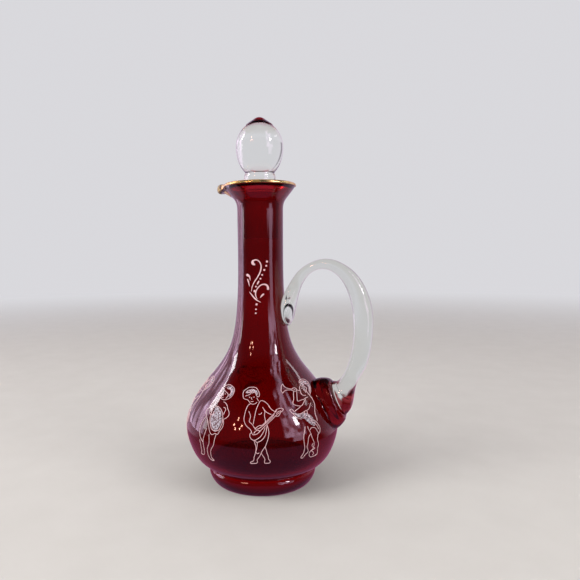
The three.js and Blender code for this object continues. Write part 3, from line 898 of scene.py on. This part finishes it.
wash = mesh_piece("enamel_washes", wash_grids)
wash.data.materials.append(white_enamel("enamel_wash", WASH_TINTS, cover=-0.6, stipple=1100.0))
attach(wash, "vessel")

# Floor and backdrop
# A plain pale cloth to stand on. Its far part fades into the backdrop. Seen through glass it is
# pale all over, and reflected in glass it ends where the cloth ends in the photograph.

FLOOR_HALF = 3.0
CLOTH_TONES = ((0.60, 0.57, 0.53, 1), (0.66, 0.63, 0.59, 1))
CLOTH_THROUGH_GLASS = (0.64, 0.63, 0.63, 1)
CLOTH_IN_GLASS = (0.42, 0.12, 0.24, 1)
TABLE_IN_GLASS = (0.03, 0.02, 0.03, 1)
WALL_IN_GLASS = (0.85, 0.48, 0.7, 1)
BACKDROP_COLOUR = (0.695, 0.69, 0.72, 1)
CLOTH_END = 0.11
CLOTH_END_SOFT = 0.004
WALL_FOOT = (-0.02, 0.04)
REFLECTED_FADE = (0.24, 0.28)
SEEN_FADE = (0.4, 1.5)
THROUGH_FADE = (0.3, 1.2)

floor_corners = [
    (-FLOOR_HALF, -FLOOR_HALF, 0), (FLOOR_HALF, -FLOOR_HALF, 0),
    (FLOOR_HALF, FLOOR_HALF, 0), (-FLOOR_HALF, FLOOR_HALF, 0),
]
floor_mesh = bpy.data.meshes.new("floor")
floor_mesh.from_pydata(floor_corners, [], [(0, 1, 2, 3)])
floor = bpy.data.objects.new("floor", floor_mesh)
bpy.context.scene.collection.objects.link(floor)


def toward(azimuth):
    """Level unit vector, from the object, turned right of the photograph's camera by an azimuth."""
    angle = math.radians(azimuth) + VIEW_TURN - math.pi / 2
    return math.cos(angle), math.sin(angle), 0.0


def facing(tree, vector, azimuth):
    """How far a vector points towards an azimuth."""
    return tree.node("VectorMath", {"operation": "DOT_PRODUCT"}, {0: vector, 1: toward(azimuth)}, 1)


def by_ray(tree):
    """Whether a ray comes from the camera, from a reflection and from a refraction, as 0 or 1."""
    kinds = "Is Camera Ray", "Is Glossy Ray", "Is Transmission Ray"
    return [tree.node("LightPath", {}, {}, kind) for kind in kinds]


material, tree = new_material("pale_floor")
is_camera, is_glossy, is_transmitted = by_ray(tree)
place = tree.node("TexCoord", {}, {}, "Object")
mottle = tree.noise(place, 40.0, 6.0)
away = tree.node("VectorMath", {"operation": "LENGTH"}, {0: place}, 1)


def glow(colour):
    """Light of the colour itself, the same from every side."""
    return tree.node("Emission", {}, {"Color": colour, "Strength": 1.0})


def mixed(share, first, second):
    """The first shader where the share is 0, the second where it is 1."""
    return tree.node("MixShader", {}, {0: share, 1: first, 2: second})


cloth = tree.node("BsdfPrincipled", {}, {
    "Base Color": tree.blend(mottle, *CLOTH_TONES),
    "Roughness": 0.9,
})
backdrop = glow(BACKDROP_COLOUR)
seen = mixed(tree.eased(away, *SEEN_FADE), cloth, backdrop)
seen_through = mixed(tree.eased(away, *THROUGH_FADE), glow(CLOTH_THROUGH_GLASS), backdrop)
behind = tree.eased(facing(tree, place, 180), *WALL_FOOT)
past_cloth = mixed(behind, glow(TABLE_IN_GLASS), glow(WALL_IN_GLASS))
cloth_ends = tree.eased(away, CLOTH_END - CLOTH_END_SOFT, CLOTH_END + CLOTH_END_SOFT)
reflected = mixed(cloth_ends, glow(CLOTH_IN_GLASS), past_cloth)
reflected = mixed(tree.eased(away, *REFLECTED_FADE), reflected, tree.node("BsdfTransparent", {}, {}))
surface = mixed(is_glossy, cloth, reflected)
surface = mixed(is_transmitted, surface, seen_through)
surface = mixed(is_camera, surface, seen)
tree.node("OutputMaterial", {}, {"Surface": surface})
floor_mesh.materials.append(material)

# World
# The room that the glass shows. A window or a curtain is a soft box of (azimuth, half width, lowest
# and highest elevation, soft edge) in degrees, with its brightness. A warm lamp has only a place.

PANES = (
    ((-100, 4.5, 24, 38, 1.5), 14.0),
    ((-94, 2.5, 3, 13, 3), 4.0),
    ((57, 2.4, 23, 33, 2), 24.0),
    ((103, 13, 32, 34, 1.2), 4.0),
)
CURTAINS = (
    ((-114, 11, 20, 56, 6), 4.1),
    ((-126, 18, -14, 16, 8), 2.3),
    ((51, 15, 6, 56, 5), 4.1),
)
BLINDS = (
    ((-105, 6, -10, 20, 5), 2.6),
    ((53, 6, -12, 8, 4), 2.4),
)
WARM_LAMPS = ((-46, 27), (-42, 36), (-33, 28), (-42, 21), (-35, 22))
LAMP_SIZE, LAMP_LEVEL = (0.7, 1.2, 0.7), 34.0
HALO_SIZE, HALO_LEVEL = (1.0, 1.5, 2.2), 4.0
FLAGS = (
    ((-121, 5, -30, 70, 3), 1.0),
    ((112, 4, -30, 60, 2), 0.8),
)
ROOM_FRONT, ROOM_BACK = 0.075, 0.675
ROOM_TURN = (-0.35, 0.6)
CEILING_RISE = (0.55, 0.8)
CEILING_SHADE = 0.08
THROUGH_LEVEL, FLAG_LEVEL = 0.68, 0.5
PANE_TINT = (1.0, 0.95, 1.0)
ROOM_TINT = (0.98, 0.72, 1.0)
LAMP_TINT = (1.0, 0.62, 0.46)
HALO_TINT = (1.0, 0.16, 0.08)
THROUGH_TINT = (0.99, 0.98, 1.02)
AROUND_COLOUR = (0.58, 0.575, 0.595, 1)

world = bpy.data.worlds.new("studio")
bpy.context.scene.world = world
world.use_nodes = True
world.node_tree.nodes.clear()
sky = Shade(world.node_tree)
is_camera, is_glossy, is_transmitted = by_ray(sky)
direction = sky.node("TexCoord", {}, {}, "Generated")
upward = sky.node("SeparateXYZ", {}, {"Vector": direction}, "Z")
elevation = sky.maths("ARCSINE", upward)


def window(azimuth, half_width, low, high, soft):
    """A soft-edged box of light, in degrees: 1 inside its azimuths and elevations, 0 outside."""
    along = facing(sky, direction, azimuth)
    across = facing(sky, direction, azimuth + 90)
    turned_off = sky.maths("ABSOLUTE", sky.maths("ARCTAN2", across, along))
    width, low, high, edge = np.radians((half_width, low, high, soft)).tolist()
    beside_it = sky.eased(turned_off, width + edge, width)
    above = sky.eased(elevation, low - edge, low)
    below = sky.eased(elevation, high + edge, high)
    return beside_it * above * below


def windows(boxes):
    """The sum of the windows, each times its level."""
    return sum(window(*box) * level for box, level in boxes)


def warm_lamps(half_width, half_height, soft):
    """The sum of a small window at each warm lamp."""
    boxes = ((turn, half_width, rise - half_height, rise + half_height, soft) for turn, rise in WARM_LAMPS)
    return sum(window(*box) for box in boxes)


def coloured(level, tint):
    """A colour from a level and a tint."""
    return sky.node("VectorMath", {"operation": "SCALE"}, {0: tint, "Scale": level})


def together(first, second):
    """The sum of two colours."""
    return sky.node("VectorMath", {"operation": "ADD"}, {0: first, 1: second})


room = sky.eased(facing(sky, direction, 180), *ROOM_TURN, ROOM_FRONT, ROOM_BACK)
room = room * sky.eased(upward, *CEILING_RISE, 1.0, CEILING_SHADE)
hanging = sky.node("Mapping", {}, {"Vector": direction, "Scale": (1, 1, 0.3)})
streaks = sky.node("TexNoise", {}, {
    "Vector": hanging, "Scale": 6.5, "Detail": 0.5, "Distortion": 0.5,
})
folds = sky.eased(streaks, 0.4, 0.62, 0.08)
reflected = coloured(room + windows(BLINDS) + windows(CURTAINS) * folds, ROOM_TINT)
reflected = together(reflected, coloured(windows(PANES), PANE_TINT))
reflected = together(reflected, coloured(warm_lamps(*LAMP_SIZE) * LAMP_LEVEL, LAMP_TINT))
reflected = together(reflected, coloured(warm_lamps(*HALO_SIZE) * HALO_LEVEL, HALO_TINT))
light = sky.blend(is_glossy, AROUND_COLOUR, reflected)
through_glass = coloured(THROUGH_LEVEL - windows(FLAGS) * FLAG_LEVEL, THROUGH_TINT)
light = sky.blend(is_transmitted, light, through_glass)
light = sky.blend(is_camera, light, BACKDROP_COLOUR)
background = sky.node("Background", {}, {"Color": light, "Strength": 1.0})
sky.node("OutputWorld", {}, {"Surface": background})

# Lamps
# Two square soft boxes stand left and right of the camera and light the floor and the painted
# lines. They don't show in the glass.

BOX_AIM = Vector((0, 0, 90 * MM))


def soft_box(name, azimuth, height, distance, size, power):
    """A square lamp aimed at the middle of the cruet."""
    lamp = bpy.data.lights.new(name, "AREA")
    lamp.shape = "SQUARE"
    lamp.size = size
    lamp.energy = power
    box = bpy.data.objects.new(name, lamp)
    box.location = Vector(toward(azimuth)) * distance + Vector((0, 0, height))
    box.rotation_euler = (BOX_AIM - box.location).to_track_quat("-Z", "Y").to_euler()
    box.visible_camera = False
    box.visible_glossy = False
    box.visible_transmission = False
    bpy.context.scene.collection.objects.link(box)


soft_box("left_box", azimuth=-60, height=0.7, distance=0.8, size=0.6, power=6.8)
soft_box("right_box", azimuth=55, height=0.6, distance=0.8, size=0.5, power=3.1)

# Camera
# The photograph's view: square to the handle's plane but for 20 degrees towards the handle, from a
# little above the middle, rolled by half a degree, with the axis left of the picture's centre.

DISTANCE = 0.2872
HEIGHT = 0.1195
PITCH = math.radians(3.8)
ROLL = math.radians(0.55)
FOCAL_PIXELS = 545.0
IMAGE_PIXELS = 580.0
AXIS_PIXEL = 260.9
SENSOR_WIDTH = 36.0
NEAREST_SEEN = 10 * MM

camera_data = bpy.data.cameras.new("photograph")
camera_data.sensor_width = SENSOR_WIDTH
camera_data.lens = SENSOR_WIDTH * FOCAL_PIXELS / IMAGE_PIXELS
camera_data.shift_x = (IMAGE_PIXELS / 2 - AXIS_PIXEL) / IMAGE_PIXELS
camera_data.clip_start = NEAREST_SEEN
camera = bpy.data.objects.new("photograph", camera_data)
camera.location = Vector(toward(0)) * DISTANCE + Vector((0, 0, HEIGHT))
aim = (
    Matrix.Rotation(VIEW_TURN, 3, "Z")
    @ Matrix.Rotation(math.pi / 2 - PITCH, 3, "X")
    @ Matrix.Rotation(-ROLL, 3, "Z")
)
camera.rotation_euler = aim.to_euler()
bpy.context.scene.collection.objects.link(camera)
bpy.context.scene.camera = camera
bpy.context.scene.view_settings.view_transform = "Standard"
